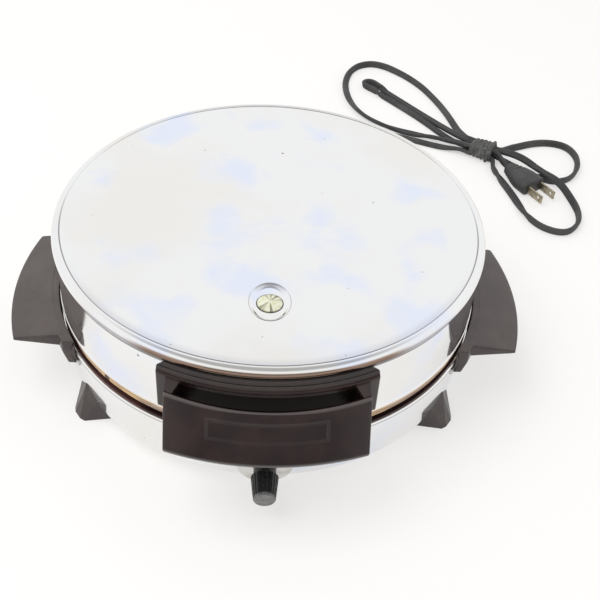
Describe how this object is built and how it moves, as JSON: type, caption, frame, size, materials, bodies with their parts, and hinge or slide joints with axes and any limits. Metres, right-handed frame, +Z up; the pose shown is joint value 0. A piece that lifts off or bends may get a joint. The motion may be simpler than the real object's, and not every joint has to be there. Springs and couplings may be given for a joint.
{
  "type": "round waffle iron",
  "caption": "Round electric waffle iron: hinged domed lid on a shallow bowl base, cast grids, side wing handles, front lid handle, dial knob, jewel lamp and a tied cord.",
  "frame": {"origin": "on the floor, under the middle of the closed iron's outline without its cord", "axes": "+Z up, -Y towards the front handle and the dial, +X to the right of a person facing the front"},
  "size_m": [0.409, 0.5116, 0.0971],
  "materials": {
    "chrome_shell": "bright chrome with faint clouds",
    "stained_steel": "heat stained, satin",
    "brown_liner": "baked-on brown, dull",
    "cast_grid": "seasoned casting",
    "bright_sheet": "mill finish",
    "heater_sheath": "oxidised sheath",
    "ceramic": "unglazed ceramic",
    "brown_plastic": "moulded phenolic, low gloss",
    "black_plastic": "moulded, gloss",
    "dial_metal": "satin turned",
    "steel_parts": "plated",
    "bottom_sheet": "grey primer",
    "jewel_glass": "facetted glass",
    "lamp_glass": "clear",
    "cord_rubber": "worn dark grey rubber",
    "tie_strap": "grey ribbed strap",
    "blade_brass": "tarnished"
  },
  "bodies": {
    "base": {"base_shell": "chrome_shell", "drip_ring": "brown_liner", "bottom_plate": "bottom_sheet", "bottom_plate_screws": "steel_parts", "lower_grid": "cast_grid", "lower_grid_rim": "cast_grid", "lower_grid_screws": "steel_parts", "lower_coil": "heater_sheath", "lower_insulators": "ceramic", "lower_reflector": "bright_sheet", "side_handle_left": "brown_plastic", "side_handle_right": "brown_plastic", "side_handle_screws": "steel_parts", "foot_front_left": "brown_plastic", "foot_front_right": "brown_plastic", "foot_rear_left": "brown_plastic", "foot_rear_right": "brown_plastic", "foot_screws": "steel_parts", "rim_rivets": "steel_parts", "thermostat_body": "steel_parts", "bushing_nut": "steel_parts", "dial_plate": "dial_metal", "terminal_block": "ceramic", "hinge_bracket": "steel_parts", "hinge_bracket_screws": "steel_parts", "strain_relief": "cord_rubber", "cord_lead": "cord_rubber", "cord_hank": "cord_rubber", "cord_tie": "tie_strap", "plug_body": "cord_rubber", "plug_blades": "blade_brass"},
    "float_pin": {"hinge_pin": "steel_parts", "pin_clips": "steel_parts"},
    "lid": {"lid_shell": "chrome_shell", "lid_trim_ring": "stained_steel", "upper_grid": "cast_grid", "upper_grid_rim": "cast_grid", "upper_grid_screws": "steel_parts", "upper_coil": "heater_sheath", "upper_insulators": "ceramic", "upper_reflector": "bright_sheet", "lid_handle": "brown_plastic", "lid_handle_screws": "steel_parts", "hinge_arm": "steel_parts", "hinge_arm_screws": "steel_parts", "signal_lens": "jewel_glass", "lens_clip": "steel_parts", "pilot_lamp": "lamp_glass", "lamp_bracket": "ceramic"},
    "knob": {"knob": "black_plastic", "thermostat_shaft": "steel_parts"}
  },
  "joints": [
    {"name": "hinge_float", "type": "slide", "parent": "base", "child": "float_pin", "axis": [0, 0, 1], "range_m": [0, 0.007]},
    {"name": "lid_hinge", "type": "hinge", "parent": "float_pin", "child": "lid", "pos_m": [0, 0.1428, 0.046], "axis": [-1, 0, 0], "range_deg": [0, 100]},
    {"name": "knob_turn", "type": "hinge", "parent": "base", "child": "knob", "pos_m": [0, -0.12134, 0.023], "axis": [0, -0.9958, -0.0913], "range_deg": [-135, 135]}
  ]
}
